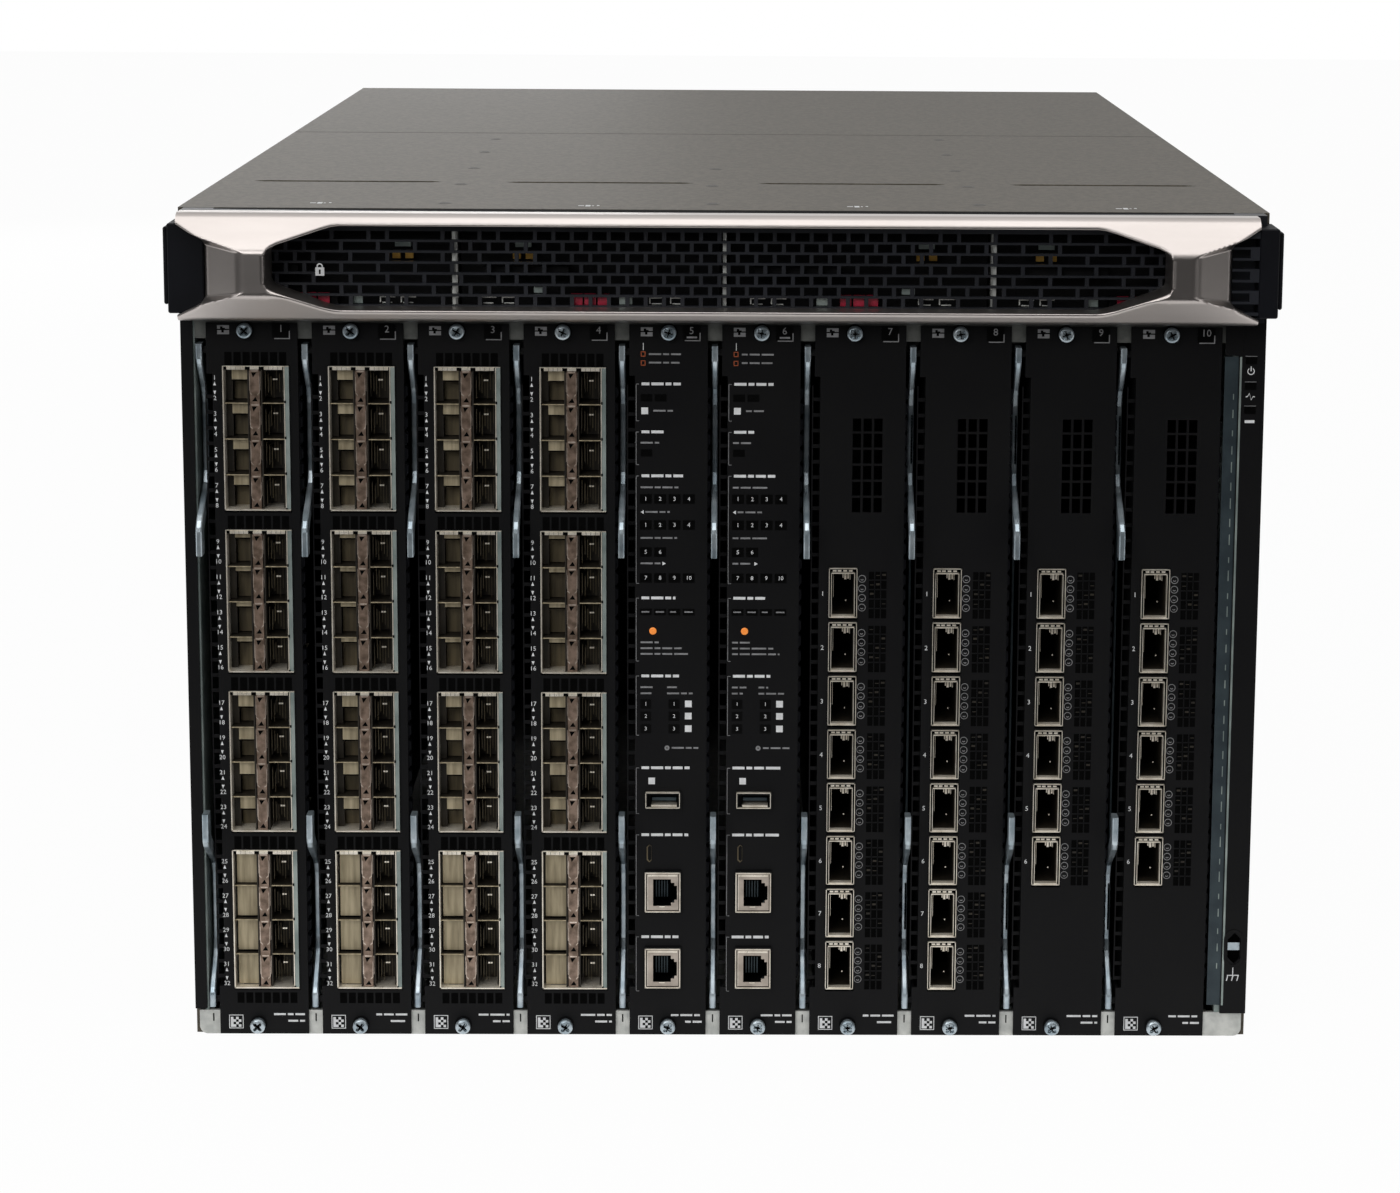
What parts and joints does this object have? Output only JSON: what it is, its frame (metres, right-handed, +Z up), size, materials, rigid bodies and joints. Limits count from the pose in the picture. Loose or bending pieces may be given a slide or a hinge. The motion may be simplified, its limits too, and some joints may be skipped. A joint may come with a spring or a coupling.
{
  "type": "modular chassis switch",
  "caption": "Rack chassis switch with upright plug-in modules, ejector levers, port cages, a pull-off bezel with a slotted grille, and fan trays at the rear.",
  "frame": {"origin": "centre of the underside of the chassis, midway between the module faces and the rear panel", "axes": "+Z up, front towards -Y, +X right as seen from the front"},
  "size_m": [0.448, 0.688, 0.35],
  "materials": {
    "warm_grey_paint": "satin",
    "black_paint": "satin",
    "zinc_sheet": "satin",
    "circuit_board": "matte",
    "champagne_metal": "satin",
    "black_plastic": "matte",
    "nickel": "satin"
  },
  "bodies": {
    "chassis": {"chassis_shell": "warm_grey_paint", "top_cover_front": "warm_grey_paint", "top_cover_rear": "warm_grey_paint", "front_flange_left": "black_paint", "front_flange_right": "black_paint", "supply_shelf": "zinc_sheet", "card_rail_lower": "zinc_sheet", "card_rail_upper": "zinc_sheet", "cage_plate_left": "zinc_sheet", "cage_plate_right": "zinc_sheet", "midplane": "circuit_board", "rear_frame": "zinc_sheet", "fabric_modules": "circuit_board", "power_supply_1": "zinc_sheet", "power_supply_2": "zinc_sheet", "power_supply_3": "zinc_sheet", "power_supply_4": "zinc_sheet"},
    "bezel": {"bezel_frame": "champagne_metal", "bezel_grille": "black_plastic"},
    "module_1": {"line_module_1": "black_paint", "port_cages_1": "nickel"},
    "module_2": {"line_module_2": "black_paint", "port_cages_2": "nickel"},
    "module_3": {"line_module_3": "black_paint", "port_cages_3": "nickel"},
    "module_4": {"line_module_4": "black_paint", "port_cages_4": "nickel"},
    "module_5": {"control_module_5": "black_paint"},
    "module_6": {"control_module_6": "black_paint"},
    "module_7": {"line_module_7": "black_paint", "port_cages_7": "nickel"},
    "module_8": {"line_module_8": "black_paint", "port_cages_8": "nickel"},
    "module_9": {"line_module_9": "black_paint", "port_cages_9": "nickel"},
    "module_10": {"line_module_10": "black_paint", "port_cages_10": "nickel"},
    "lever_upper_1": {"lever_upper_1": "zinc_sheet"},
    "lever_lower_1": {"lever_lower_1": "zinc_sheet"},
    "lever_upper_2": {"lever_upper_2": "zinc_sheet"},
    "lever_lower_2": {"lever_lower_2": "zinc_sheet"},
    "lever_upper_3": {"lever_upper_3": "zinc_sheet"},
    "lever_lower_3": {"lever_lower_3": "zinc_sheet"},
    "lever_upper_4": {"lever_upper_4": "zinc_sheet"},
    "lever_lower_4": {"lever_lower_4": "zinc_sheet"},
    "lever_upper_5": {"lever_upper_5": "zinc_sheet"},
    "lever_lower_5": {"lever_lower_5": "zinc_sheet"},
    "lever_upper_6": {"lever_upper_6": "zinc_sheet"},
    "lever_lower_6": {"lever_lower_6": "zinc_sheet"},
    "lever_upper_7": {"lever_upper_7": "zinc_sheet"},
    "lever_lower_7": {"lever_lower_7": "zinc_sheet"},
    "lever_upper_8": {"lever_upper_8": "zinc_sheet"},
    "lever_lower_8": {"lever_lower_8": "zinc_sheet"},
    "lever_upper_9": {"lever_upper_9": "zinc_sheet"},
    "lever_lower_9": {"lever_lower_9": "zinc_sheet"},
    "lever_upper_10": {"lever_upper_10": "zinc_sheet"},
    "lever_lower_10": {"lever_lower_10": "zinc_sheet"},
    "fan_tray_1": {"fan_tray_1": "black_plastic"},
    "fan_tray_2": {"fan_tray_2": "black_plastic"},
    "fan_tray_3": {"fan_tray_3": "black_plastic"}
  },
  "joints": [
    {"name": "bezel_pull", "type": "slide", "parent": "chassis", "child": "bezel", "axis": [0, -1, 0], "range_m": [0, 0.06]},
    {"name": "module_slide_1", "type": "slide", "parent": "chassis", "child": "module_1", "axis": [0, -1, 0], "range_m": [0, 0.35]},
    {"name": "module_slide_2", "type": "slide", "parent": "chassis", "child": "module_2", "axis": [0, -1, 0], "range_m": [0, 0.35]},
    {"name": "module_slide_3", "type": "slide", "parent": "chassis", "child": "module_3", "axis": [0, -1, 0], "range_m": [0, 0.35]},
    {"name": "module_slide_4", "type": "slide", "parent": "chassis", "child": "module_4", "axis": [0, -1, 0], "range_m": [0, 0.35]},
    {"name": "module_slide_5", "type": "slide", "parent": "chassis", "child": "module_5", "axis": [0, -1, 0], "range_m": [0, 0.35]},
    {"name": "module_slide_6", "type": "slide", "parent": "chassis", "child": "module_6", "axis": [0, -1, 0], "range_m": [0, 0.35]},
    {"name": "module_slide_7", "type": "slide", "parent": "chassis", "child": "module_7", "axis": [0, -1, 0], "range_m": [0, 0.35]},
    {"name": "module_slide_8", "type": "slide", "parent": "chassis", "child": "module_8", "axis": [0, -1, 0], "range_m": [0, 0.35]},
    {"name": "module_slide_9", "type": "slide", "parent": "chassis", "child": "module_9", "axis": [0, -1, 0], "range_m": [0, 0.35]},
    {"name": "module_slide_10", "type": "slide", "parent": "chassis", "child": "module_10", "axis": [0, -1, 0], "range_m": [0, 0.35]},
    {"name": "upper_lever_1", "type": "hinge", "parent": "module_1", "child": "lever_upper_1", "pos_m": [-0.21365, -0.3174, 0.2916], "axis": [-1, 0, 0], "range_deg": [0, 60]},
    {"name": "lower_lever_1", "type": "hinge", "parent": "module_1", "child": "lever_lower_1", "pos_m": [-0.21365, -0.3174, 0.0153], "axis": [1, 0, 0], "range_deg": [0, 60]},
    {"name": "upper_lever_2", "type": "hinge", "parent": "module_2", "child": "lever_upper_2", "pos_m": [-0.17065, -0.3174, 0.2916], "axis": [-1, 0, 0], "range_deg": [0, 60]},
    {"name": "lower_lever_2", "type": "hinge", "parent": "module_2", "child": "lever_lower_2", "pos_m": [-0.17065, -0.3174, 0.0153], "axis": [1, 0, 0], "range_deg": [0, 60]},
    {"name": "upper_lever_3", "type": "hinge", "parent": "module_3", "child": "lever_upper_3", "pos_m": [-0.12765, -0.3174, 0.2916], "axis": [-1, 0, 0], "range_deg": [0, 60]},
    {"name": "lower_lever_3", "type": "hinge", "parent": "module_3", "child": "lever_lower_3", "pos_m": [-0.12765, -0.3174, 0.0153], "axis": [1, 0, 0], "range_deg": [0, 60]},
    {"name": "upper_lever_4", "type": "hinge", "parent": "module_4", "child": "lever_upper_4", "pos_m": [-0.08465, -0.3174, 0.2916], "axis": [-1, 0, 0], "range_deg": [0, 60]},
    {"name": "lower_lever_4", "type": "hinge", "parent": "module_4", "child": "lever_lower_4", "pos_m": [-0.08465, -0.3174, 0.0153], "axis": [1, 0, 0], "range_deg": [0, 60]},
    {"name": "upper_lever_5", "type": "hinge", "parent": "module_5", "child": "lever_upper_5", "pos_m": [-0.04165, -0.3174, 0.2916], "axis": [-1, 0, 0], "range_deg": [0, 60]},
    {"name": "lower_lever_5", "type": "hinge", "parent": "module_5", "child": "lever_lower_5", "pos_m": [-0.04165, -0.3174, 0.0153], "axis": [1, 0, 0], "range_deg": [0, 60]},
    {"name": "upper_lever_6", "type": "hinge", "parent": "module_6", "child": "lever_upper_6", "pos_m": [-0.0038, -0.3174, 0.2916], "axis": [-1, 0, 0], "range_deg": [0, 60]},
    {"name": "lower_lever_6", "type": "hinge", "parent": "module_6", "child": "lever_lower_6", "pos_m": [-0.0038, -0.3174, 0.0153], "axis": [1, 0, 0], "range_deg": [0, 60]},
    {"name": "upper_lever_7", "type": "hinge", "parent": "module_7", "child": "lever_upper_7", "pos_m": [0.03405, -0.3174, 0.2916], "axis": [-1, 0, 0], "range_deg": [0, 60]},
    {"name": "lower_lever_7", "type": "hinge", "parent": "module_7", "child": "lever_lower_7", "pos_m": [0.03405, -0.3174, 0.0153], "axis": [1, 0, 0], "range_deg": [0, 60]},
    {"name": "upper_lever_8", "type": "hinge", "parent": "module_8", "child": "lever_upper_8", "pos_m": [0.07705, -0.3174, 0.2916], "axis": [-1, 0, 0], "range_deg": [0, 60]},
    {"name": "lower_lever_8", "type": "hinge", "parent": "module_8", "child": "lever_lower_8", "pos_m": [0.07705, -0.3174, 0.0153], "axis": [1, 0, 0], "range_deg": [0, 60]},
    {"name": "upper_lever_9", "type": "hinge", "parent": "module_9", "child": "lever_upper_9", "pos_m": [0.12005, -0.3174, 0.2916], "axis": [-1, 0, 0], "range_deg": [0, 60]},
    {"name": "lower_lever_9", "type": "hinge", "parent": "module_9", "child": "lever_lower_9", "pos_m": [0.12005, -0.3174, 0.0153], "axis": [1, 0, 0], "range_deg": [0, 60]},
    {"name": "upper_lever_10", "type": "hinge", "parent": "module_10", "child": "lever_upper_10", "pos_m": [0.16305, -0.3174, 0.2916], "axis": [-1, 0, 0], "range_deg": [0, 60]},
    {"name": "lower_lever_10", "type": "hinge", "parent": "module_10", "child": "lever_lower_10", "pos_m": [0.16305, -0.3174, 0.0153], "axis": [1, 0, 0], "range_deg": [0, 60]},
    {"name": "fan_tray_slide_1", "type": "slide", "parent": "chassis", "child": "fan_tray_1", "axis": [0, 1, 0], "range_m": [0, 0.25]},
    {"name": "fan_tray_slide_2", "type": "slide", "parent": "chassis", "child": "fan_tray_2", "axis": [0, 1, 0], "range_m": [0, 0.25]},
    {"name": "fan_tray_slide_3", "type": "slide", "parent": "chassis", "child": "fan_tray_3", "axis": [0, 1, 0], "range_m": [0, 0.25]}
  ]
}
